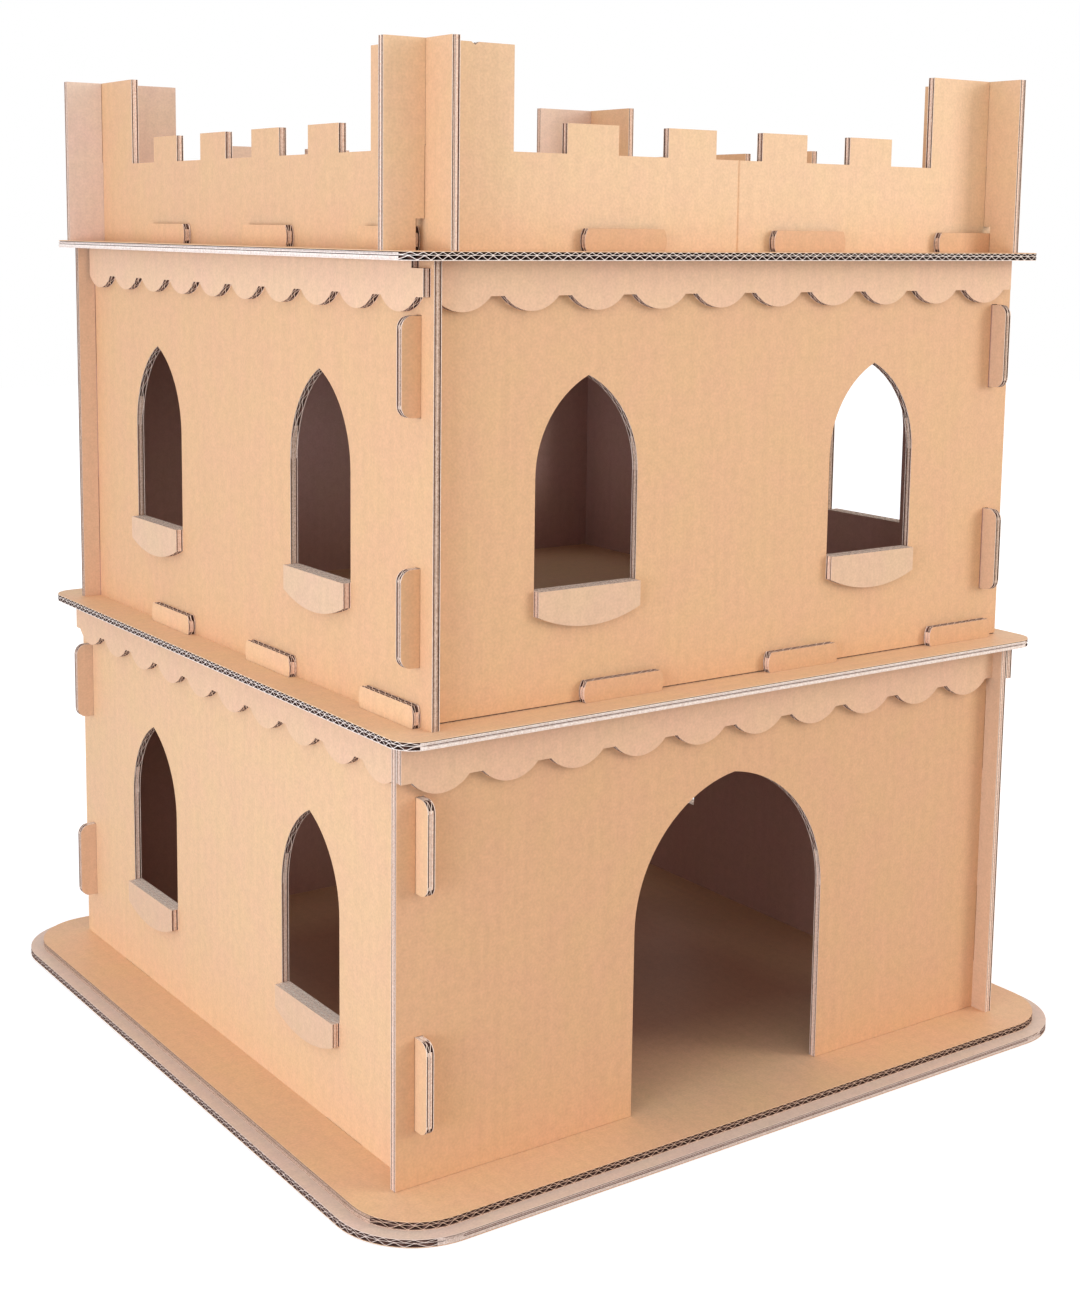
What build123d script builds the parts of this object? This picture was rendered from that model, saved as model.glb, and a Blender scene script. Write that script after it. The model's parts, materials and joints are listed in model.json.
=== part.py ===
from build123d import *
import os

# Cardboard play castle, in millimetres: two storeys of slotted boards on a double base,
# each board pushed into the next with tabs, and a battlement round the roof.
# The front, with the door, faces -Y. The origin is the middle of the underside.

# Board and fits
board = 6.0  # thickness of the double-wall corrugated board, one board for every piece
fit = 0.4  # clearance of a tab in its slot, and of a board behind the tab heads

# Base, floor and roof boards, each a square with rounded corners
castle_width = 550.0  # outer face to outer face of the lower walls
base_margin = 46.5  # upper base board past the lower walls
base_step = 11.0  # lower base board past the upper one
base_top_corner = 49.0
base_bottom_corner = 60.0
floor_margin = 24.5  # middle floor past the lower walls
floor_corner = 18.0
roof_margin = 25.4  # roof past the upper walls
roof_corner = 18.0

# Walls
lower_height = 308.0
upper_height = 303.0
wall_overhang = 15.0  # slotted end of a wall past the wall that it meets

# Corner tabs, two at one end of each wall
corner_tab_reach = 14.5  # past the outer face of the slotted wall
corner_tab_height = 65.0
corner_tab_foot = 40.0  # lower tab above the foot of the wall
corner_tab_round = 8.0
valance_clearance = 2.0  # upper tab below the scallops that hang over it

# Top tabs, three on each wall: a neck in the slot of the board above and a head that swells over it
top_tab_neck = 67.0
top_tab_head = 15.0
top_tab_swell = 1.5  # head past the neck, at each side
top_tab_top = 65.0
top_tab_pitch = 170.0

# Foot tabs that hold the lower walls to the base
foot_tab_width = 50.0
foot_tab_inset = 89.0  # middle of a foot tab from the inner face of the wall that it meets

# Door and windows, all lancet arches
door_width = 182.0
door_spring = 139.0
door_rise = 105.0
window_width = 87.0
lower_window_foot = 78.5
upper_window_foot = 81.5
window_jamb = 76.5  # upright sides, from the foot to the arcs
window_rise = 68.0
window_station = 135.0  # middle of a window from the middle of its pair
lower_window_shift = 5.0  # lower pair past the middle of the castle, towards the slotted end

# Window sills
sill_end = 17.5  # depth at the ends
sill_middle = 27.0  # depth in the middle

# Scalloped valances
scallops = 10
scallop_gap = 11.0  # straight edge between two scallops
valance_end = 8.5  # straight edge at an end
lower_valance_flat = 26.5  # depth at the straight edges
lower_valance_deep = 36.5  # depth at the scallops
upper_valance_flat = 23.0
upper_valance_deep = 33.0
upper_valance_inset = 6.6  # end of an upper valance short of the slotted end of its wall
left_valance_slip = 3.0  # the upper left valance is glued on this far towards the front
left_valance_cut_length = 14.0
left_valance_cut_depth = 5.0

# Parapet, four boards halved into each other at the corners
parapet_overhang = 30.8  # board end past the outer face of the board that it crosses
parapet_low = 64.0
parapet_merlon = 84.0
parapet_high = 132.0
parapet_high_length = 98.6
merlons = 4
notch_headroom = 5.0  # notch above the tab head that it lets through

# Marks of use on the front parapet
crease_width = 2.0
crease_depth = 0.8
chip_station = -225.0
chip_width = 6.0
chip_depth = 2.0

# Places that follow from the sizes above
lower_face = castle_width / 2
upper_face = lower_face - board - fit
parapet_face = upper_face - board - fit
lower_foot = 2 * board
floor_foot = lower_foot + lower_height
upper_foot = floor_foot + board
roof_foot = upper_foot + upper_height
parapet_foot = roof_foot + board
sides = ("front", "right", "back", "left")

os.makedirs("parts", exist_ok=True)


class Storey:
    """Walls of one storey. Turn is 1 where the slotted ends are at the left, seen from outside."""

    def __init__(
        self, name, turn, face, foot, height, valance_flat, valance_deep, window_foot, window_shift
    ):
        self.name = name
        self.turn = turn
        self.face = face
        self.foot = foot
        self.height = height
        self.valance_flat = valance_flat
        self.valance_deep = valance_deep
        self.slotted_end = -turn * (face + wall_overhang)
        self.tabbed_end = turn * (face - board)
        self.slot_station = -turn * (face - board / 2)
        upper_tab = height - valance_deep - valance_clearance - corner_tab_height
        self.corner_tab_feet = (corner_tab_foot, upper_tab)
        middle = -turn * window_shift
        self.window_foot = window_foot
        self.window_stations = {"left": middle - window_station, "right": middle + window_station}


lower = Storey(
    name="lower",
    turn=1,
    face=lower_face,
    foot=lower_foot,
    height=lower_height,
    valance_flat=lower_valance_flat,
    valance_deep=lower_valance_deep,
    window_foot=lower_window_foot,
    window_shift=lower_window_shift,
)
upper = Storey(
    name="upper",
    turn=-1,
    face=upper_face,
    foot=upper_foot,
    height=upper_height,
    valance_flat=upper_valance_flat,
    valance_deep=upper_valance_deep,
    window_foot=upper_window_foot,
    window_shift=0,
)

# Right end of the last top tab's neck on each wall. On the upper storey the front one passes through
# the right parapet, the side ones stop inside a parapet, and the back one stops short of it.
inside_parapet = parapet_face - board - fit
lower_tab_ends = {side: lower_face - board for side in sides}
upper_tab_ends = {
    "front": upper_face,
    "right": inside_parapet,
    "back": inside_parapet - top_tab_swell,
    "left": inside_parapet,
}


def side_plane(side, face, height):
    """Outer face of a board: x runs from left to right seen from outside, and y runs up."""
    turned = 90 * sides.index(side)
    across = Vector(1, 0, 0).rotate(Axis.Z, turned)
    outward = Vector(0, -1, 0).rotate(Axis.Z, turned)
    return Plane(origin=outward * face + Vector(0, 0, height), x_dir=across, z_dir=outward)


def span(start, end, foot, top, mode=Mode.ADD):
    """Rectangle between two stations along a board and two heights."""
    with Locations(((start + end) / 2, (foot + top) / 2)):
        Rectangle(abs(end - start), top - foot, mode=mode)


def lancet(width, foot, spring, rise):
    """Opening with upright jambs and two arcs that meet in a point."""
    half = width / 2
    radius = (half**2 + rise**2) / width
    with BuildSketch() as opening:
        with BuildLine():
            Polyline((0, foot), (half, foot), (half, spring))
            RadiusArc((half, spring), (0, spring + rise), -radius)
            mirror(about=Plane.YZ)
        make_face()
    return opening.sketch


def top_tab_stations(last_end):
    """Middles of a wall's three top tabs, from the right end of the last one."""
    last = last_end - top_tab_neck / 2
    return [last - step * top_tab_pitch for step in (2, 1, 0)]


def foot_tab_stations():
    """Middles of a lower wall's two foot tabs."""
    station = lower_face - board - foot_tab_inset
    return [-station, station]


def cut_slots(face, stations_of, length):
    """Slots in a lying board for the tabs of four walls."""
    for number, side in enumerate(sides):
        with Locations(Location((0, 0, 0), (0, 0, 90 * number))):
            with Locations(*[(station, board / 2 - face) for station in stations_of[side]]):
                Rectangle(length + 2 * fit, board + 2 * fit, mode=Mode.SUBTRACT)


# Head and neck of a top tab, from the wall's top edge
with BuildSketch() as top_tab:
    with BuildLine():
        Polyline((0, 0), (top_tab_neck / 2, 0), (top_tab_neck / 2, board))
        ThreePointArc(
            (top_tab_neck / 2, board),
            (top_tab_neck / 2 + top_tab_swell, board + top_tab_head / 2),
            (top_tab_top / 2, board + top_tab_head),
        )
        Line((top_tab_top / 2, board + top_tab_head), (0, board + top_tab_head))
        mirror(about=Plane.YZ)
    make_face()

# Sill under a window, from the window's bottom edge
with BuildSketch() as sill_shape:
    with BuildLine():
        Polyline(
            (-window_width / 2, -sill_end),
            (-window_width / 2, 0),
            (window_width / 2, 0),
            (window_width / 2, -sill_end),
        )
        ThreePointArc((window_width / 2, -sill_end), (0, -sill_middle), (-window_width / 2, -sill_end))
    make_face()

door = lancet(door_width, 0, door_spring, door_rise)


# Base boards
with BuildPart() as base_bottom_board:
    with BuildSketch():
        bottom_width = castle_width + 2 * (base_margin + base_step)
        RectangleRounded(bottom_width, bottom_width, base_bottom_corner)
    extrude(amount=board)
base_bottom_board.part.label = "base_bottom_board"
export_step(base_bottom_board.part, "parts/base_bottom_board.step")

with BuildPart() as base_top_board:
    with BuildSketch(Plane.XY.offset(board)):
        top_width = castle_width + 2 * base_margin
        RectangleRounded(top_width, top_width, base_top_corner)
        cut_slots(lower_face, {side: foot_tab_stations() for side in sides}, foot_tab_width)
    extrude(amount=board)
base_top_board.part.label = "base_top_board"
export_step(base_top_board.part, "parts/base_top_board.step")


# Middle floor and roof, threaded over the top tabs of the walls below
with BuildPart() as middle_floor:
    with BuildSketch(Plane.XY.offset(floor_foot)):
        floor_width = 2 * (lower_face + floor_margin)
        RectangleRounded(floor_width, floor_width, floor_corner)
        floor_slots = {side: top_tab_stations(lower_tab_ends[side]) for side in sides}
        cut_slots(lower_face, floor_slots, top_tab_neck)
    extrude(amount=board)
middle_floor.part.label = "middle_floor"
export_step(middle_floor.part, "parts/middle_floor.step")

with BuildPart() as roof_floor:
    with BuildSketch(Plane.XY.offset(roof_foot)):
        roof_width = 2 * (upper_face + roof_margin)
        RectangleRounded(roof_width, roof_width, roof_corner)
        roof_slots = {side: top_tab_stations(upper_tab_ends[side]) for side in sides}
        cut_slots(upper_face, roof_slots, top_tab_neck)
    extrude(amount=board)
roof_floor.part.label = "roof_floor"
export_step(roof_floor.part, "parts/roof_floor.step")


def draw_wall(storey, tab_end):
    """Outline of a wall without its openings: plate, corner tabs, corner slots and top tabs."""
    span(storey.slotted_end, storey.tabbed_end, 0, storey.height)
    tip = storey.tabbed_end + storey.turn * (board + corner_tab_reach)
    root = storey.tabbed_end - storey.turn * 2 * corner_tab_round
    for foot in storey.corner_tab_feet:
        with Locations(((tip + root) / 2, foot + corner_tab_height / 2)):
            RectangleRounded(abs(tip - root), corner_tab_height, corner_tab_round)
        with Locations((storey.slot_station, foot + corner_tab_height / 2)):
            Rectangle(board + 2 * fit, corner_tab_height + 2 * fit, mode=Mode.SUBTRACT)
    with Locations(*[(station, storey.height) for station in top_tab_stations(tab_end)]):
        add(top_tab.sketch)


def cut_windows(storey):
    """Openings of the two windows of a wall."""
    window = lancet(window_width, storey.window_foot, storey.window_foot + window_jamb, window_rise)
    with Locations(*[(station, 0) for station in storey.window_stations.values()]):
        add(window, mode=Mode.SUBTRACT)


# Lower walls: the door in the front, two windows in each of the others
for side in sides:
    with BuildPart() as lower_wall:
        with BuildSketch(side_plane(side, lower_face, lower_foot)):
            draw_wall(lower, lower_tab_ends[side])
            with Locations(*[(station, -board / 2) for station in foot_tab_stations()]):
                Rectangle(foot_tab_width, board)
            if side == "front":
                add(door, mode=Mode.SUBTRACT)
            else:
                cut_windows(lower)
        extrude(amount=-board)
    lower_wall.part.label = f"lower_{side}_wall"
    export_step(lower_wall.part, f"parts/lower_{side}_wall.step")

# Upper walls, whose corners turn the other way, with two windows each
for side in sides:
    with BuildPart() as upper_wall:
        with BuildSketch(side_plane(side, upper_face, upper_foot)):
            draw_wall(upper, upper_tab_ends[side])
            cut_windows(upper)
        extrude(amount=-board)
    upper_wall.part.label = f"upper_{side}_wall"
    export_step(upper_wall.part, f"parts/upper_{side}_wall.step")


# Window sills, glued on under each window with the top edge flush with the opening
for storey in (lower, upper):
    for side in sides:
        for end, station in storey.window_stations.items():
            if storey is lower and side == "front":
                continue
            with BuildPart() as sill:
                with BuildSketch(side_plane(side, storey.face + board, storey.foot + storey.window_foot)):
                    with Locations((station, 0)):
                        add(sill_shape.sketch)
                extrude(amount=-board)
            sill.part.label = f"{storey.name}_{side}_{end}_sill"
            export_step(sill.part, f"parts/{storey.name}_{side}_{end}_sill.step")


def scallop_row(storey, start, end, start_flat):
    """Scallop that hangs below a valance's straight edge, and the middles of the row of them."""
    run = end - start - start_flat - valance_end
    width = (run - (scallops - 1) * scallop_gap) / scallops
    with BuildSketch() as lobe:
        with BuildLine():
            shoulder = -storey.valance_flat
            ThreePointArc((-width / 2, shoulder), (0, -storey.valance_deep), (width / 2, shoulder))
            Line((width / 2, shoulder), (-width / 2, shoulder))
        make_face()
    first = start + start_flat + width / 2
    return lobe.sketch, [first + number * (width + scallop_gap) for number in range(scallops)]


# Scalloped valances, glued on the walls under the board above
for storey in (lower, upper):
    for side in sides:
        shifted = storey is upper and side == "left"
        slip = left_valance_slip if shifted else 0
        if storey is lower:
            start, end, start_flat = storey.slotted_end, storey.tabbed_end, valance_end
        else:
            start, end, start_flat = storey.tabbed_end, storey.slotted_end - upper_valance_inset, 0
        lobe, lobe_stations = scallop_row(storey, start + slip, end + slip, start_flat)
        with BuildPart() as valance:
            with BuildSketch(side_plane(side, storey.face + board, storey.foot + storey.height)):
                span(start + slip, end + slip, -storey.valance_flat, 0)
                with Locations(*[(station, 0) for station in lobe_stations]):
                    add(lobe)
                if shifted:
                    cut_start = end + slip - left_valance_cut_length
                    span(cut_start, end + slip, -left_valance_cut_depth, 0, mode=Mode.SUBTRACT)
            extrude(amount=-board)
        valance.part.label = f"{storey.name}_{side}_valance"
        export_step(valance.part, f"parts/{storey.name}_{side}_valance.step")


# Parapet boards: slotted from below at the left end and from above at the right end,
# so that each crosses the next like the dividers of a crate
parapet_end = parapet_face + parapet_overhang
crossing = parapet_face - board / 2
merlon_width = 2 * (parapet_end - parapet_high_length) / (2 * merlons + 1)
halving = parapet_high / 2
for side in sides:
    with BuildPart() as parapet:
        with BuildSketch(side_plane(side, parapet_face, parapet_foot)):
            span(-parapet_end, parapet_end, 0, parapet_low)
            span(-parapet_end, parapet_high_length - parapet_end, 0, parapet_high)
            span(parapet_end - parapet_high_length, parapet_end, 0, parapet_high)
            with Locations((0, (parapet_low + parapet_merlon) / 2)):
                with GridLocations(2 * merlon_width, 1, merlons, 1):
                    Rectangle(merlon_width, parapet_merlon - parapet_low)
            slot_near = crossing - board / 2 - fit
            slot_far = crossing + board / 2 + fit
            span(-slot_far, -slot_near, 0, halving + fit, mode=Mode.SUBTRACT)
            span(slot_near, slot_far, halving - fit, parapet_high, mode=Mode.SUBTRACT)
            if side != "left":
                notch_far = upper_face + fit
                notch_top = top_tab_head + notch_headroom
                span(-notch_far, -slot_near, 0, notch_top, mode=Mode.SUBTRACT)
            if side == "front":
                with Locations((chip_station, parapet_high)):
                    Polygon(
                        (-chip_width / 2, 0),
                        (0, -chip_depth),
                        (chip_width / 2, 0),
                        align=None,
                        mode=Mode.SUBTRACT,
                    )
        extrude(amount=-board)
        if side == "front":
            with BuildSketch(Plane.XY.offset(parapet_foot)):
                with Locations((0, -parapet_face)):
                    Polygon((-crease_width / 2, 0), (crease_width / 2, 0), (0, crease_depth), align=None)
            extrude(amount=parapet_low, mode=Mode.SUBTRACT)
    parapet.part.label = f"{side}_parapet"
    export_step(parapet.part, f"parts/{side}_parapet.step")
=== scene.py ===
import json
import math

import bpy
import numpy as np
from mathutils import Matrix, Vector


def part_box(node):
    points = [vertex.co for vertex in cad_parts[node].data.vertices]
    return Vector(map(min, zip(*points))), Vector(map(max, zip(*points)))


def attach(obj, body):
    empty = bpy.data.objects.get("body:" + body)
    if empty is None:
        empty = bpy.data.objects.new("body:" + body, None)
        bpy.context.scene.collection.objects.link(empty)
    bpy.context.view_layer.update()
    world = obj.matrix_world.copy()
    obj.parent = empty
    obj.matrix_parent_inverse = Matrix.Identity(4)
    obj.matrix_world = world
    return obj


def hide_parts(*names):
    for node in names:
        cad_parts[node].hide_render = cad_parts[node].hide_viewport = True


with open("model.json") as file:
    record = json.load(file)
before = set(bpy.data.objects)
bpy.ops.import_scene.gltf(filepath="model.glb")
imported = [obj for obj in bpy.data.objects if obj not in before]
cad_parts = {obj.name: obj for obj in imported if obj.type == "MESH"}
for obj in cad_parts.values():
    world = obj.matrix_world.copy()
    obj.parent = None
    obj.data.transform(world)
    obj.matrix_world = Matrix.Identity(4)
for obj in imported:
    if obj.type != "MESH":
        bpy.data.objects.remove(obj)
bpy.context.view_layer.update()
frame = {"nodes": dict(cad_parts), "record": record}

# Cardboard play castle. Every board is rebuilt from its solid's outline as what double-wall board is:
# three flat liners with a fine and a coarse fluted sheet between them, open at every cut edge.

MM = 0.001

# Layers of the board, from its outer or upper face: liner, fine flutes, liner, coarse flutes, liner
LINER = 0.5 * MM
FINE_LAYER = 1.9 * MM
MIDDLE_LINER = 0.35 * MM
FINE_END = LINER + FINE_LAYER
COARSE_START = FINE_END + MIDDLE_LINER

# Fluted sheets: the paper's thickness and the length of one flute
FINE_PAPER = 0.45 * MM
COARSE_PAPER = 0.52 * MM
FINE_PITCH = 6.8 * MM
COARSE_PITCH = 8.4 * MM

# A flute's corners, as shares of its pitch, and the side of the layer that each touches
FLUTE_CORNERS = ((-0.06, 1.0), (0.06, 1.0), (0.44, -1.0), (0.56, -1.0))

# A cut that runs along the flutes: how far inside it the last flute's wall stands, the dark gap that this
# wall leaves beside a liner on a lying board, the same on the upright boards from the narrowest to the
# widest, and the greatest slant of such a cut
FINE_INSET = 0.2 * MM
COARSE_INSET = 0.15 * MM
THIN_GAP = 0.5 * MM
NARROW_GAP = 0.5 * MM
WIDE_GAP = 1.1 * MM
STEEPEST_CRUSHED = 0.3

# An upward cut whose flutes are pressed shut: how far inside it they end, how nearly level it is, and how
# far the highest such cut is from the board's top
PRESSED_INSET = 0.12 * MM
PRESSED_LEVEL = 0.99
TOP_MARGIN = 1.0 * MM

# Dark gap between the foot of a wall's outer liner and the board that the wall stands on
FOOT_GAPS = {"upper_front_wall": 0.9 * MM, "lower_front_wall": 0.3 * MM}

# Step that spreads a value evenly over the boards in their order, and the distance in metres by which each
# board's pattern is moved on from the one before
GOLDEN_SHARE = 0.618
PATTERN_STEP = (1.7, 0.9)

# Reading the outline: digits kept of a metre, how close two places are to be the same, the distances inside
# a strip's ends where it is crossed, and the smallest strip that is worth a face
DIGITS = 6
SAME_PLACE = 0.1 * MM
HAIRS = (0.002 * MM, 0.03 * MM)
NARROWEST_STRIP = 0.02 * MM
SHORTEST_STRIP = 0.05 * MM

# Photograph: the frame it is taken in, its camera and where its optical axis meets the picture
PHOTO_WIDTH = 1080
PHOTO_HEIGHT = 1316
AXIS_X = 521.9
AXIS_Y = 491.5
FOCAL_PIXELS = 1897.4
SENSOR = 36.0
CAMERA_PLACE = Vector((-0.9053, -1.2943, 0.6492))
YAW = math.radians(34.92)
PITCH = math.radians(7.88)
ROLL = math.radians(0.67)
NEAREST_SEEN = 0.05
FURTHEST_SEEN = 50.0

# Ground: half its width, how far it lies under the castle, and its glow for the camera
GROUND_REACH = 6.0
GROUND_DROP = 0.3 * MM
GROUND_GLOW = 0.35

# Thin axis of the boards on each side, and the axis along which each lying board's flutes run
UPRIGHT_AXES = {"front": 1, "back": 1, "left": 0, "right": 0}
LYING_FLUTES = {"base_bottom_board": 0, "base_top_board": 1, "middle_floor": 0, "roof_floor": 1}

# Nodes whose board lies with its other side outward or up
TURNED = ("valance", "sill", "base_bottom_board", "right_parapet")
SLOT_OF = {entry["node"]: entry["material_slot"] for entry in frame["record"]["subparts"]}

# Liners of each kind of board: its better side, and its other side
BROWN = (0.738, 0.422, 0.222)
LIGHT_BROWN = (0.790, 0.480, 0.271)
# The parapets' face is paler than the walls' brown as painted light, standing for the stronger light on the
# castle's top
LIT_PARAPET_BROWN = (0.828, 0.531, 0.307)
GREYISH = (0.800, 0.495, 0.304)
DEEP_GREYISH = (0.733, 0.466, 0.292)
PINKISH_GREY = (0.760, 0.560, 0.440)
PALE_PINKISH = (0.786, 0.578, 0.443)
# The walls' inner side and the floors' underside are darker than their paper: painted shade of the rooms
SHADED_INNER_BROWN = (0.490, 0.265, 0.200)
SHADED_UNDERSIDE = (0.360, 0.230, 0.170)
LINERS = {
    "base_board": (LIGHT_BROWN, PINKISH_GREY),
    "floor_board": (LIGHT_BROWN, SHADED_UNDERSIDE),
    "wall_board": (BROWN, SHADED_INNER_BROWN),
    "parapet_board": (LIT_PARAPET_BROWN, PALE_PINKISH),
    "valance_board": (BROWN, GREYISH),
    "sill_board": (BROWN, DEEP_GREYISH),
}

# Boards lighter or darker than the rest, and by how much: partly sheets of another tone, partly painted
# light and shade
TONES_AND_PAINTED_LIGHT = {
    "plain": (1.0, 1.0, 1.0),
    "pale": (1.07, 1.14, 1.20),
    "deep": (0.95, 0.92, 0.92),
    "dull": (0.87, 0.80, 0.75),
    "dim": (0.93, 0.91, 0.89),
}
TONE_AND_LIGHT_OF = {
    "lower_left_wall": "pale",
    "upper_back_wall": "pale",
    "middle_floor": "pale",
    "lower_front_wall": "deep",
    "lower_front_valance": "deep",
    "lower_back_wall": "dull",
    "lower_right_wall": "dull",
    "left_parapet": "dull",
    "right_parapet": "dim",
}

# Shares of a liner's colour in the two near shades between which it drifts
PINKISH_SHARES = (1.005, 0.985, 1.01)
YELLOWISH_SHARES = (0.995, 1.015, 0.985)

# A liner that differs in the rooms and outside them: the walls' inner side is paler on their tabs, its
# darker colour in the rooms being painted shade, and the base is browner and darker in the room behind the
# doorway, as painted shade too.
# Each has its tint and the distance over which it changes, and the change ends a little inside the walls'
# boards
TAB_TINT = DEEP_GREYISH
TAB_RISE = 0.3 * MM
INDOOR_SHADE_BROWN = (0.540, 0.255, 0.150)
DOORWAY_RISE = 110.0 * MM
RISE_END = 0.5 * MM

# Noises of a liner: patches in a metre and layers of detail, then how dark and light each makes the paper.
# Streaks run along the flutes, drawn out by this share.
FIBRES = (560.0, 2.0)
MOTTLING = (150.0, 2.0)
STREAKS = (170.0, 1.0)
DRIFT = (26.0, 3.0)
FIBRE_LEVELS = (0.955, 1.045)
MOTTLING_LEVELS = (0.97, 1.03)
STREAK_LEVELS = (0.985, 1.015)
DRAWN_OUT = 0.06
FIBRE_RELIEF = 0.3 * MM
FIBRE_BUMP = 0.2

# Range of a noise that is spread over a whole change, in a liner and in the paper at a cut
LINER_NOISE_RANGE = (0.3, 0.7)
CUT_NOISE_RANGE = (0.35, 0.65)

# Numbers of a board's papers in its mesh
FACE, CUT, INSIDE, CRUSHED, PRESSED, BACK = range(6)


class Board:
    """A node's place as a board: its thin axis, the side that is its face, and the way its flutes run."""

    def __init__(self, node, number):
        self.node = node
        self.number = number
        low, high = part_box(node)
        self.lying = node in LYING_FLUTES
        if self.lying:
            self.thin = 2
            self.along = LYING_FLUTES[node]
            self.faces_up = True
        else:
            side = next(word for word in node.split("_") if word in UPRIGHT_AXES)
            self.thin = UPRIGHT_AXES[side]
            self.along = 2
            self.faces_up = side in ("right", "back")
        self.across = 3 - self.thin - self.along
        self.face = high[self.thin] if self.faces_up else low[self.thin]
        back = low[self.thin] if self.faces_up else high[self.thin]
        self.thickness = abs(self.face - back)
        self.into = -1.0 if self.faces_up else 1.0
        self.top = high[self.along]
        self.turned = node.split("_")[-1] in TURNED or node in TURNED
        self.upper_wall = node.startswith("upper") and node.endswith("wall")
        self.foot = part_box("middle_floor" if self.upper_wall else "base_top_board")[1][2]
        self.foot_gap = FOOT_GAPS.get(node, 0.0)

    def depth(self, distance):
        """Place of a layer at a distance below the board's face."""
        return self.face + self.into * distance

    def points(self, across, along, depth):
        """Corner points from places across and along the flutes, and a depth."""
        shape = np.broadcast(across, along, depth).shape
        placed = np.zeros(shape + (3,))
        placed[..., self.across] = across
        placed[..., self.along] = along
        placed[..., self.thin] = depth
        return placed


def flat_faces(board, outward):
    """The solid's faces on one side of the board, each as its corner points."""
    mesh = frame["nodes"][board.node].data
    wanted = -board.into if outward else board.into
    chosen = [polygon for polygon in mesh.polygons if polygon.normal[board.thin] * wanted > 0.5]
    return [
        [tuple(round(place, DIGITS) for place in mesh.vertices[number].co) for number in polygon.vertices]
        for polygon in chosen
    ]


def outer_edges(faces):
    """Edges that belong to one face only, in a fixed order."""
    edges = {edge for face in faces for edge in zip(face, face[1:] + face[:1])}
    return sorted(edge for edge in edges if edge[::-1] not in edges)


def outline(board):
    """Edges round the board's back face: the places across and along the flutes of their starts and ends."""
    faces = [
        [(corner[board.across], corner[board.along]) for corner in face]
        for face in flat_faces(board, False)
    ]
    rim = outer_edges(faces)
    return np.array([start for start, end in rim]), np.array([end for start, end in rim])


class Sheets:
    """A board's outline, and the faces gathered for its mesh with the paper of each face."""

    def __init__(self, board):
        self.board = board
        self.rim = outline(board)
        self.points = []
        self.faces = []
        self.papers = []
        self.count = 0

    def add(self, points, faces, paper):
        points = np.asarray(points).reshape(-1, 3)
        self.points.append(points)
        self.faces.extend((np.asarray(faces) + self.count).tolist())
        self.papers.extend([paper] * len(faces))
        self.count += len(points)


def add_liner(sheets, outward, top, bottom, upper_side, lower_side, rim_side):
    """One flat sheet in the form of a face of the solid, moved into the board by two distances."""
    board = sheets.board
    faces = flat_faces(board, outward)
    numbers = {}
    for face in faces:
        for corner in face:
            numbers.setdefault(corner, len(numbers))
    corners = np.array(list(numbers))
    upper = corners.copy()
    lower = corners.copy()
    upper[:, board.thin] += board.into * top
    lower[:, board.thin] += board.into * bottom
    if outward and board.foot_gap:
        for sheet in (upper, lower):
            sheet[:, 2] += board.foot_gap * (np.abs(sheet[:, 2] - board.foot) < SAME_PLACE)
    triangles = [[numbers[corner] for corner in face] for face in faces]
    sheets.add(upper, triangles, upper_side)
    sheets.add(lower, triangles, lower_side)
    rim = np.array(outer_edges(triangles))
    strips = np.stack([rim[:, 0], rim[:, 1], rim[:, 1] + len(corners), rim[:, 0] + len(corners)], 1)
    sheets.add(np.concatenate([upper, lower]), strips, rim_side)


def crossings(rim, place):
    """Places along the flutes where a line at this place across them meets the outline."""
    a, b = rim
    met = (a[:, 0] < place) != (b[:, 0] < place)
    a, b = a[met], b[met]
    share = (place - a[:, 0]) / (b[:, 0] - a[:, 0])
    return np.sort(a[:, 1] + share * (b[:, 1] - a[:, 1]))


def both_ends(rim, left, right):
    """Crossings just inside both ends of a strip, or in its middle where their numbers differ."""
    for hair in HAIRS:
        near = crossings(rim, left + hair)
        far = crossings(rim, right - hair)
        if len(near) == len(far):
            return near, far
    middle = crossings(rim, (left + right) / 2)
    return middle, middle


def flute_corners(low, high, pitch):
    """Places across the flutes of a fluted sheet's corners, and the side of the layer that each touches."""
    waves = np.arange(math.floor(low / pitch) - 1, math.ceil(high / pitch) + 2)
    places = np.array([(wave + share) * pitch for wave in waves for share, side in FLUTE_CORNERS])
    sides = np.array([side for wave in waves for share, side in FLUTE_CORNERS])
    return places, sides


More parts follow.
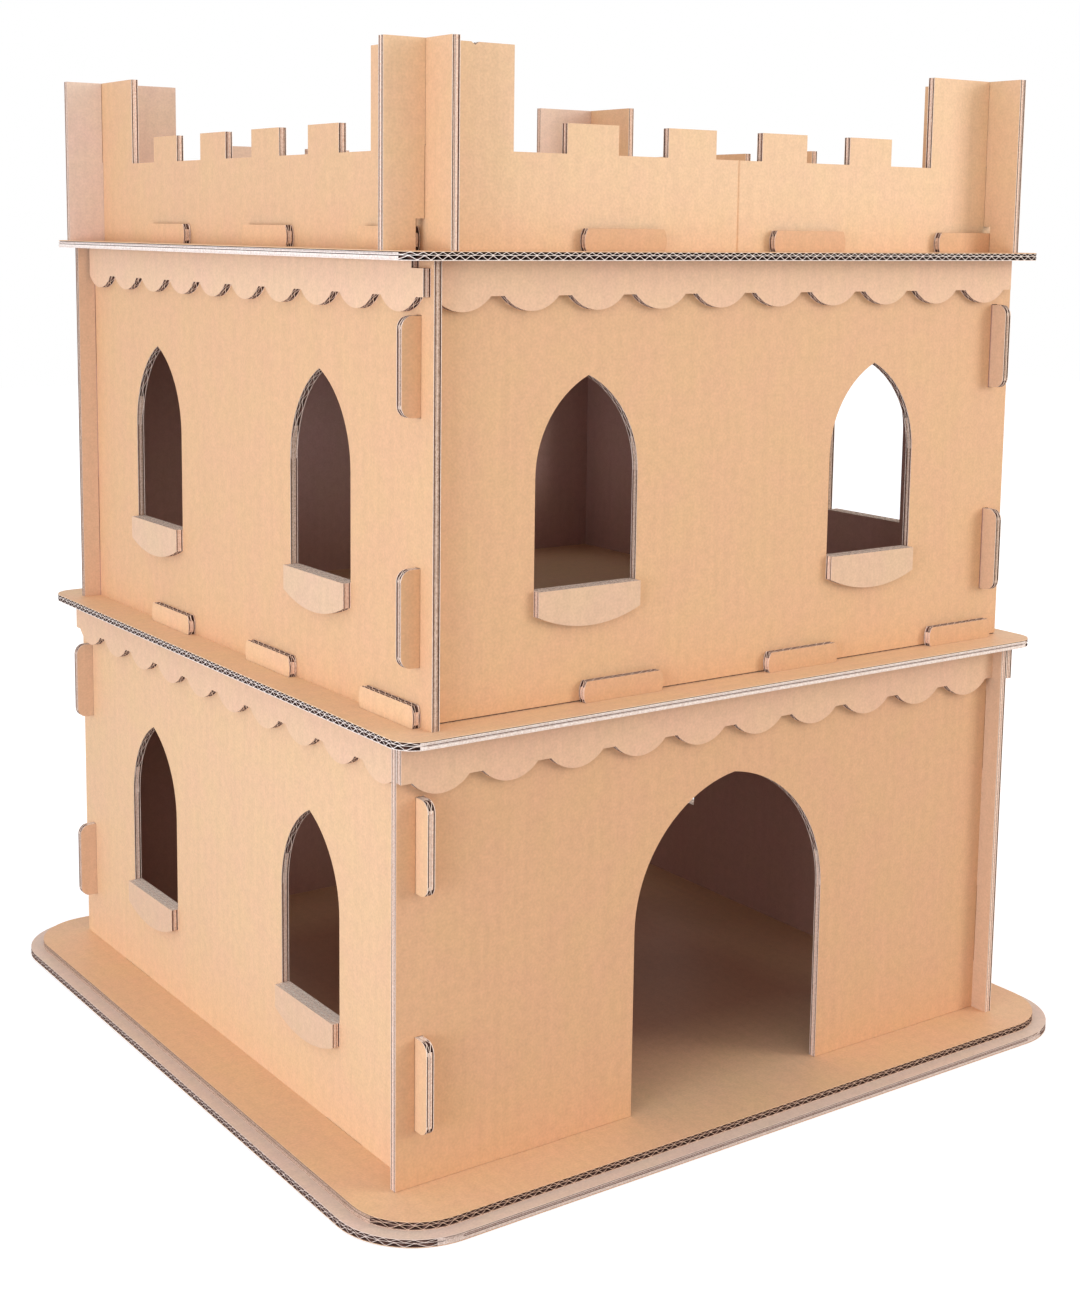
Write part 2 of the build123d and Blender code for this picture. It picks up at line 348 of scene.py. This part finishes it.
def add_flutes(sheets, top, bottom, pitch, paper):
    """One fluted sheet: a zigzag across the board, drawn along the flutes and cut to the outline."""
    board = sheets.board
    starts = sheets.rim[0]
    low, high = starts[:, 0].min(), starts[:, 0].max()
    corners, sides = flute_corners(low, high, pitch)
    inside = corners[(corners > low) & (corners < high)]
    stations = np.unique(np.round(np.concatenate([inside, starts[:, 0]]), DIGITS))
    stations = stations[np.concatenate([[True], np.diff(stations) > NARROWEST_STRIP])]
    middle = (top + bottom) / 2
    reach = (bottom - top - paper) / 2
    places, depths = [], []
    for left, right in zip(stations[:-1], stations[1:]):
        near, far = both_ends(sheets.rim, left, right)
        wave = middle + reach * np.interp([left, right], corners, sides)
        half = paper / 2
        for number in range(0, len(near) - 1, 2):
            a0, a1 = near[number], near[number + 1]
            b0, b1 = far[number], far[number + 1]
            if max(a1 - a0, b1 - b0) < SHORTEST_STRIP:
                continue
            places.append([[left, a0], [left, a1], [right, b1], [right, b0]])
            depths.append([wave - half, wave + half])
    places = np.array(places)
    depths = np.array(depths)
    levels = depths[:, :, [0, 0, 1, 1]]
    across = np.repeat(places[:, None, :, 0], 2, 1)
    along = np.repeat(places[:, None, :, 1], 2, 1)
    boxes = board.points(across, along, board.depth(levels)).reshape(len(places), 8, 3)
    base = np.arange(len(places))[:, None, None] * 8
    broad = np.array([[0, 1, 2, 3], [4, 5, 6, 7]])
    cut = np.array([[0, 3, 7, 4], [1, 2, 6, 5]])
    sheets.add(boxes, (base + broad).reshape(-1, 4), INSIDE)
    sheets.add(boxes, (base + cut).reshape(-1, 4), CUT)


def add_edge_walls(sheets, top, bottom, inset, chosen, paper):
    """Walls across a layer, one just inside each edge of the outline that the test chooses."""
    board = sheets.board
    starts, ends = sheets.rim
    run = ends - starts
    length = np.hypot(run[:, 0], run[:, 1])
    turn = np.sign(np.sum(starts[:, 0] * ends[:, 1] - starts[:, 1] * ends[:, 0]))
    inward = np.stack([-run[:, 1], run[:, 0]], 1) * (turn * inset / length)[:, None]
    wanted = chosen(starts, run, length, inward)
    first = (starts + inward)[wanted]
    last = (ends + inward)[wanted]
    across = np.stack([first[:, 0], last[:, 0], last[:, 0], first[:, 0]], 1)
    along = np.stack([first[:, 1], last[:, 1], last[:, 1], first[:, 1]], 1)
    depths = board.depth(np.array([top, top, bottom, bottom]))
    walls = board.points(across, along, depths[None, :])
    sheets.add(walls, np.arange(len(first) * 4).reshape(-1, 4), paper)


def add_crushed_edges(sheets, top, bottom, inset):
    """Where a cut runs along the flutes, the last flute's wall stands just inside it."""

    def runs_along(starts, run, length, inward):
        return np.abs(run[:, 0]) < STEEPEST_CRUSHED * length

    add_edge_walls(sheets, top, bottom, inset, runs_along, CRUSHED)


def add_pressed_edges(sheets, highest):
    """Flutes pressed shut at the upward cuts below a height."""

    def looks_up(starts, run, length, inward):
        return (inward[:, 1] < -PRESSED_LEVEL * PRESSED_INSET) & (starts[:, 1] < highest)

    bottom = sheets.board.thickness - LINER
    add_edge_walls(sheets, LINER, bottom, PRESSED_INSET, looks_up, PRESSED)


def add_layers(sheets, face_rim, back_rim):
    """The board's three liners and its two fluted sheets."""
    thickness = sheets.board.thickness
    add_liner(sheets, True, 0, LINER, FACE, INSIDE, face_rim)
    add_liner(sheets, False, FINE_END - thickness, COARSE_START - thickness, INSIDE, INSIDE, CUT)
    add_liner(sheets, False, -LINER, 0, INSIDE, BACK, back_rim)
    add_flutes(sheets, LINER, FINE_END, FINE_PITCH, FINE_PAPER)
    add_flutes(sheets, COARSE_START, thickness - LINER, COARSE_PITCH, COARSE_PAPER)


def lying_sheets(board):
    """A board that lies flat: its cuts along the flutes leave a thin dark gap under a liner."""
    sheets = Sheets(board)
    add_layers(sheets, FACE, BACK if board.turned else CUT)
    add_crushed_edges(sheets, LINER + THIN_GAP, FINE_END, FINE_INSET)
    add_crushed_edges(sheets, COARSE_START + THIN_GAP, board.thickness - LINER, COARSE_INSET)
    return sheets


def upright_sheets(board):
    """A board that stands: its cuts along the flutes leave a dark gap beside both outer liners."""
    sheets = Sheets(board)
    add_layers(sheets, CUT, CUT)
    gap = NARROW_GAP + (WIDE_GAP - NARROW_GAP) * (board.number * GOLDEN_SHARE % 1)
    add_crushed_edges(sheets, LINER + gap, FINE_END, FINE_INSET)
    add_crushed_edges(sheets, COARSE_START, board.thickness - LINER - gap, COARSE_INSET)
    return sheets


def base_board(board):
    """A base board: its sheets, and the papers of its cuts across the flutes and along them."""
    # The upper base board's cut is painted darker as painted shade
    cut = shaded_base_cut_paper() if board.node == "base_top_board" else pinkish_cut_paper()
    return lying_sheets(board), cut, cut


def floor_board(board):
    """The middle floor or the roof, with pale cuts."""
    return lying_sheets(board), pale_cut_paper(), pale_cut_paper()


def wall_board(board):
    """A wall, its flutes pressed shut at each upward cut but the tops of its tabs."""
    sheets = upright_sheets(board)
    add_pressed_edges(sheets, board.top - TOP_MARGIN)
    return sheets, cut_paper(), brown_crushed_paper() if board.upper_wall else crushed_paper()


def parapet_board(board):
    """A parapet, its flutes open at the top of every merlon."""
    return upright_sheets(board), cut_paper(), crushed_paper()


def valance_board(board):
    """A valance, its flutes pressed shut where its top is cut down."""
    sheets = upright_sheets(board)
    add_pressed_edges(sheets, board.top - TOP_MARGIN)
    return sheets, cut_paper(), crushed_paper()


def sill_board(board):
    """A sill, its flutes pressed shut all along its top."""
    sheets = upright_sheets(board)
    add_pressed_edges(sheets, board.top + TOP_MARGIN)
    return sheets, cut_paper(), crushed_paper()


MAKERS = {
    "base_board": base_board,
    "floor_board": floor_board,
    "wall_board": wall_board,
    "parapet_board": parapet_board,
    "valance_board": valance_board,
    "sill_board": sill_board,
}


def sheets_mesh(sheets):
    """The gathered faces as one mesh, with the board's own places as its map."""
    board = sheets.board
    mesh = bpy.data.meshes.new(board.node + "_sheets")
    points = np.concatenate(sheets.points)
    mesh.from_pydata(points.tolist(), [], sheets.faces)
    mesh.polygons.foreach_set("material_index", sheets.papers)
    corners = np.zeros(len(mesh.loops), np.int32)
    mesh.loops.foreach_get("vertex_index", corners)
    flat = points[corners][:, [board.across, board.along]] + np.array(PATTERN_STEP) * board.number
    layer = mesh.uv_layers.new(name="board")
    layer.data.foreach_set("uv", flat.astype(np.float32).ravel())
    mesh.validate()
    mesh.update()
    return mesh


def build_board(node, number):
    """The corrugated piece that stands for one node."""
    board = Board(node, number)
    sheets, cut, crushed = MAKERS[SLOT_OF[node]](board)
    mesh = sheets_mesh(sheets)
    outer, inner = liner_of(node, "face"), liner_of(node, "back")
    if board.turned:
        outer, inner = inner, outer
    for material in (outer, cut, inner_paper(), crushed, pressed_paper(), inner):
        mesh.materials.append(material)
    piece = bpy.data.objects.new(node + "_board", mesh)
    bpy.context.scene.collection.objects.link(piece)
    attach(piece, "root")
    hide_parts(node)


def build_boards():
    """Every node's board, in a fixed order."""
    for number, node in enumerate(sorted(frame["nodes"])):
        build_board(node, number)


def new_material(name):
    """An empty node material and its tree."""
    material = bpy.data.materials.new(name)
    material.use_nodes = True
    tree = material.node_tree
    tree.nodes.clear()
    return material, tree


def add_node(tree, kind, **settings):
    """A node with some of its properties and input values set."""
    node = tree.nodes.new(kind)
    for key, value in settings.items():
        if hasattr(node, key):
            setattr(node, key, value)
        else:
            node.inputs[key.replace("_", " ")].default_value = value
    return node


def board_noise(tree, places, scale, detail):
    """A noise over a board's own flat places."""
    noise = add_node(tree, "ShaderNodeTexNoise", noise_dimensions="2D", Scale=scale, Detail=detail)
    tree.links.new(places, noise.inputs["Vector"])
    return noise.outputs["Fac"]


def mapped(tree, value, before, after):
    """A value's range mapped to another range, and held at its ends."""
    node = add_node(tree, "ShaderNodeMapRange")
    node.inputs["From Min"].default_value = before[0]
    node.inputs["From Max"].default_value = before[1]
    node.inputs["To Min"].default_value = after[0]
    node.inputs["To Max"].default_value = after[1]
    tree.links.new(value, node.inputs["Value"])
    return node.outputs["Result"]


def out_of_room(tree, softness):
    """0 in the castle's rooms, where a liner takes its painted room shade, rising over a last distance to 1
    within its walls, and 1 outside.
    """
    low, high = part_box("lower_front_wall")
    places = add_node(tree, "ShaderNodeTexCoord").outputs["Object"]
    parts = add_node(tree, "ShaderNodeSeparateXYZ")
    tree.links.new(places, parts.inputs["Vector"])
    furthest = add_node(tree, "ShaderNodeMath", operation="MAXIMUM")
    for number, axis in enumerate("XY"):
        distance = add_node(tree, "ShaderNodeMath", operation="ABSOLUTE")
        tree.links.new(parts.outputs[axis], distance.inputs[0])
        tree.links.new(distance.outputs["Value"], furthest.inputs[number])
    end = abs(high[1]) + RISE_END
    return mapped(tree, furthest.outputs["Value"], (end - softness, end), (0.0, 1.0))


def mixed(tree, factor, first, second):
    """A mix of two colours, each a plain colour or another node's output."""
    mix = add_node(tree, "ShaderNodeMix", data_type="RGBA")
    for end, colour in (("A", first), ("B", second)):
        if isinstance(colour, tuple):
            mix.inputs[end].default_value = (*colour, 1)
        else:
            tree.links.new(colour, mix.inputs[end])
    tree.links.new(factor, mix.inputs["Factor"])
    return mix.outputs["Result"]


def liner_level(tree, places, fibres):
    """How light a liner is, place by place: fine fibres, soft mottling and streaks along the flutes."""
    drawn = add_node(tree, "ShaderNodeMapping")
    drawn.inputs["Scale"].default_value = (1.0, DRAWN_OUT, 1.0)
    tree.links.new(places, drawn.inputs["Vector"])
    mottling = board_noise(tree, places, *MOTTLING)
    streaks = board_noise(tree, drawn.outputs["Vector"], *STREAKS)
    level = mapped(tree, fibres, LINER_NOISE_RANGE, FIBRE_LEVELS)
    for noise, levels in ((mottling, MOTTLING_LEVELS), (streaks, STREAK_LEVELS)):
        product = add_node(tree, "ShaderNodeMath", operation="MULTIPLY")
        tree.links.new(level, product.inputs[0])
        tree.links.new(mapped(tree, noise, LINER_NOISE_RANGE, levels), product.inputs[1])
        level = product.outputs["Value"]
    return level


def liner_paper(name, pinkish, yellowish, outdoors=None, indoor_shade=None):
    """Flat liner between two near shades, with another tint outside the castle's rooms or in them; its
    darker colour in the rooms is painted shade.
    """
    if name in bpy.data.materials:
        return bpy.data.materials[name]
    material, tree = new_material(name)
    places = add_node(tree, "ShaderNodeUVMap", uv_map="board").outputs["UV"]
    fibres = board_noise(tree, places, *FIBRES)
    drift = mapped(tree, board_noise(tree, places, *DRIFT), LINER_NOISE_RANGE, (0.0, 1.0))
    hue = mixed(tree, drift, pinkish, yellowish)
    if outdoors:
        hue = mixed(tree, out_of_room(tree, TAB_RISE), hue, outdoors)
    if indoor_shade:
        hue = mixed(tree, out_of_room(tree, DOORWAY_RISE), indoor_shade, hue)
    colour = add_node(tree, "ShaderNodeVectorMath", operation="SCALE")
    tree.links.new(hue, colour.inputs[0])
    tree.links.new(liner_level(tree, places, fibres), colour.inputs["Scale"])
    shader = add_node(tree, "ShaderNodeBsdfPrincipled", Roughness=0.5, Specular_IOR_Level=0.3)
    tree.links.new(colour.outputs["Vector"], shader.inputs["Base Color"])
    bump = add_node(tree, "ShaderNodeBump", Strength=FIBRE_BUMP, Distance=FIBRE_RELIEF)
    tree.links.new(fibres, bump.inputs["Height"])
    tree.links.new(bump.outputs["Normal"], shader.inputs["Normal"])
    output = add_node(tree, "ShaderNodeOutputMaterial")
    tree.links.new(shader.outputs["BSDF"], output.inputs["Surface"])
    return material


def liner_of(node, side):
    """The liner on the better or the other side of a node's board."""
    slot = SLOT_OF[node]
    # A board's tone is partly its own sheet and partly painted light and shade
    tone = TONE_AND_LIGHT_OF.get(node, "plain")
    tint = [level * share for level, share in zip(LINERS[slot][side == "back"], TONES_AND_PAINTED_LIGHT[tone])]
    pinkish = tuple(level * share for level, share in zip(tint, PINKISH_SHARES))
    yellowish = tuple(level * share for level, share in zip(tint, YELLOWISH_SHARES))
    # The walls' inner side keeps its painted shade only in the rooms, and the base takes painted shade in
    # the room behind the doorway
    outdoors = TAB_TINT if (slot, side) == ("wall_board", "back") else None
    indoor_shade = INDOOR_SHADE_BROWN if (slot, side) == ("base_board", "face") else None
    return liner_paper("_".join((slot, side, tone)), pinkish, yellowish, outdoors, indoor_shade)


def plain_paper(name, dark, light, scale):
    """Paper seen at a cut edge or inside the flutes, mottled between two colours."""
    if name in bpy.data.materials:
        return bpy.data.materials[name]
    material, tree = new_material(name)
    places = add_node(tree, "ShaderNodeTexCoord").outputs["Object"]
    noise = add_node(tree, "ShaderNodeTexNoise", Scale=scale, Detail=2.0)
    tree.links.new(places, noise.inputs["Vector"])
    ramp = add_node(tree, "ShaderNodeValToRGB")
    for element, position, colour in zip(ramp.color_ramp.elements, CUT_NOISE_RANGE, (dark, light)):
        element.position = position
        element.color = (*colour, 1)
    tree.links.new(noise.outputs["Fac"], ramp.inputs["Fac"])
    shader = add_node(tree, "ShaderNodeBsdfPrincipled", Roughness=0.9, Specular_IOR_Level=0.2)
    tree.links.new(ramp.outputs["Color"], shader.inputs["Base Color"])
    output = add_node(tree, "ShaderNodeOutputMaterial")
    tree.links.new(shader.outputs["BSDF"], output.inputs["Surface"])
    return material


def cut_paper():
    """Fuzzy paper at the cut of an upright board."""
    return plain_paper("cut_paper", dark=(0.84, 0.62, 0.48), light=(0.98, 0.78, 0.63), scale=900.0)


def pale_cut_paper():
    """The paler cut of the middle floor and the roof."""
    return plain_paper("pale_cut_paper", dark=(0.80, 0.62, 0.51), light=(0.98, 0.84, 0.73), scale=900.0)


def shaded_base_cut_paper():
    """The browner, darker cut of the upper base board, its darkness painted shade."""
    return plain_paper("shaded_base_cut_paper", dark=(0.46, 0.28, 0.18), light=(0.68, 0.46, 0.34), scale=900.0)


def pinkish_cut_paper():
    """The duller cut of the lower base board."""
    return plain_paper("pinkish_cut_paper", dark=(0.58, 0.41, 0.32), light=(0.82, 0.64, 0.54), scale=900.0)


def crushed_paper():
    """A flute's wall laid open by a cut along it."""
    return plain_paper("crushed_paper", dark=(0.80, 0.51, 0.36), light=(0.98, 0.71, 0.54), scale=700.0)


def brown_crushed_paper():
    """The same on the upper storey's walls, whose fluted paper is browner."""
    return plain_paper("brown_crushed_paper", dark=(0.52, 0.33, 0.22), light=(0.80, 0.56, 0.41), scale=700.0)


def pressed_paper():
    """Pale torn paper where flutes are pressed shut."""
    return plain_paper("pressed_paper", dark=(0.86, 0.68, 0.55), light=(0.98, 0.84, 0.71), scale=420.0)


def inner_paper():
    """Fluted paper and the hidden sides of the liners, dark as their own shade makes them."""
    return plain_paper("inner_paper", dark=(0.15, 0.07, 0.05), light=(0.23, 0.115, 0.085), scale=500.0)


def ground_white():
    """White as the camera sees it, and a soft grey as it lights the castle from below."""
    material, tree = new_material("ground_white")
    path = add_node(tree, "ShaderNodeLightPath")
    diffuse = add_node(tree, "ShaderNodeBsdfDiffuse", Color=(0.6, 0.6, 0.6, 1))
    seen = add_node(tree, "ShaderNodeBsdfDiffuse", Color=(0.95, 0.95, 0.95, 1))
    glow = add_node(tree, "ShaderNodeEmission", Strength=GROUND_GLOW)
    both = add_node(tree, "ShaderNodeAddShader")
    mix = add_node(tree, "ShaderNodeMixShader")
    output = add_node(tree, "ShaderNodeOutputMaterial")
    tree.links.new(seen.outputs["BSDF"], both.inputs[0])
    tree.links.new(glow.outputs["Emission"], both.inputs[1])
    tree.links.new(path.outputs["Is Camera Ray"], mix.inputs["Fac"])
    tree.links.new(diffuse.outputs["BSDF"], mix.inputs[1])
    tree.links.new(both.outputs["Shader"], mix.inputs[2])
    tree.links.new(mix.outputs["Shader"], output.inputs["Surface"])
    return material


def build_floor():
    """White ground under the castle."""
    mesh = bpy.data.meshes.new("ground")
    signs = ((-1, -1), (1, -1), (1, 1), (-1, 1))
    corners = [(GROUND_REACH * x, GROUND_REACH * y, 0) for x, y in signs]
    mesh.from_pydata(corners, [], [(0, 1, 2, 3)])
    mesh.materials.append(ground_white())
    ground = bpy.data.objects.new("ground", mesh)
    ground.location.z = -GROUND_DROP
    bpy.context.scene.collection.objects.link(ground)


def light_world(strength, tint):
    """Even white studio light from all round, and a white background for the camera."""
    world = bpy.data.worlds.new("studio")
    bpy.context.scene.world = world
    world.use_nodes = True
    tree = world.node_tree
    tree.nodes.clear()
    path = add_node(tree, "ShaderNodeLightPath")
    dome = add_node(tree, "ShaderNodeBackground", Strength=strength)
    dome.inputs["Color"].default_value = (*tint, 1)
    white = add_node(tree, "ShaderNodeBackground", Strength=1.0)
    white.inputs["Color"].default_value = (1, 1, 1, 1)
    mix = add_node(tree, "ShaderNodeMixShader")
    output = add_node(tree, "ShaderNodeOutputWorld")
    tree.links.new(path.outputs["Is Camera Ray"], mix.inputs["Fac"])
    tree.links.new(dome.outputs["Background"], mix.inputs[1])
    tree.links.new(white.outputs["Background"], mix.inputs[2])
    tree.links.new(mix.outputs["Shader"], output.inputs["Surface"])


def softbox(name, place, target, size, power, tint=(1.0, 1.0, 1.0)):
    """A square soft light aimed at a point."""
    data = bpy.data.lights.new(name, "AREA")
    data.shape = "RECTANGLE"
    data.size = size
    data.size_y = size
    data.energy = power
    data.color = tint
    lamp = bpy.data.objects.new(name, data)
    lamp.location = place
    lamp.rotation_mode = "QUATERNION"
    lamp.rotation_quaternion = (Vector(target) - Vector(place)).to_track_quat("-Z", "Y")
    bpy.context.scene.collection.objects.link(lamp)


def light_scene():
    """Studio dome, a low cool light at the left, and a softer and a higher one at the front right."""
    light_world(strength=0.835, tint=(0.99, 1.0, 1.02))
    cool = (0.85, 1.0, 1.25)
    softbox("left_light", place=(-2.2, -0.7, 0.15), target=(0, 0, 0.2), size=1.6, power=43.6, tint=cool)
    softbox("right_light", place=(2.3, -2.6, 1.0), target=(0, 0, 0.5), size=1.2, power=28.6)
    softbox("high_light", place=(1.5, -1.7, 1.4), target=(0.05, -0.28, 0.6), size=0.9, power=5.2)


def place_camera():
    """The photograph's camera: a pinhole whose optical axis meets the picture off its middle."""
    data = bpy.data.cameras.new("camera")
    data.sensor_width = SENSOR
    data.lens = FOCAL_PIXELS * SENSOR / PHOTO_HEIGHT
    data.shift_x = (PHOTO_WIDTH / 2 - AXIS_X) / PHOTO_HEIGHT
    data.shift_y = (AXIS_Y - PHOTO_HEIGHT / 2) / PHOTO_HEIGHT
    data.clip_start = NEAREST_SEEN
    data.clip_end = FURTHEST_SEEN
    heading = Vector((math.sin(YAW), math.cos(YAW), 0))
    forward = math.cos(PITCH) * heading - math.sin(PITCH) * Vector((0, 0, 1))
    level = Vector((math.cos(YAW), -math.sin(YAW), 0))
    upright = level.cross(forward)
    right = math.cos(ROLL) * level + math.sin(ROLL) * upright
    up = -math.sin(ROLL) * level + math.cos(ROLL) * upright
    turn = Matrix((right, up, -forward)).transposed().to_4x4()
    camera = bpy.data.objects.new("camera", data)
    camera.matrix_world = Matrix.Translation(CAMERA_PLACE) @ turn
    bpy.context.scene.collection.objects.link(camera)
    bpy.context.scene.camera = camera


def main():
    bpy.context.scene.view_settings.view_transform = "Standard"
    build_boards()
    build_floor()
    light_scene()
    place_camera()


main()
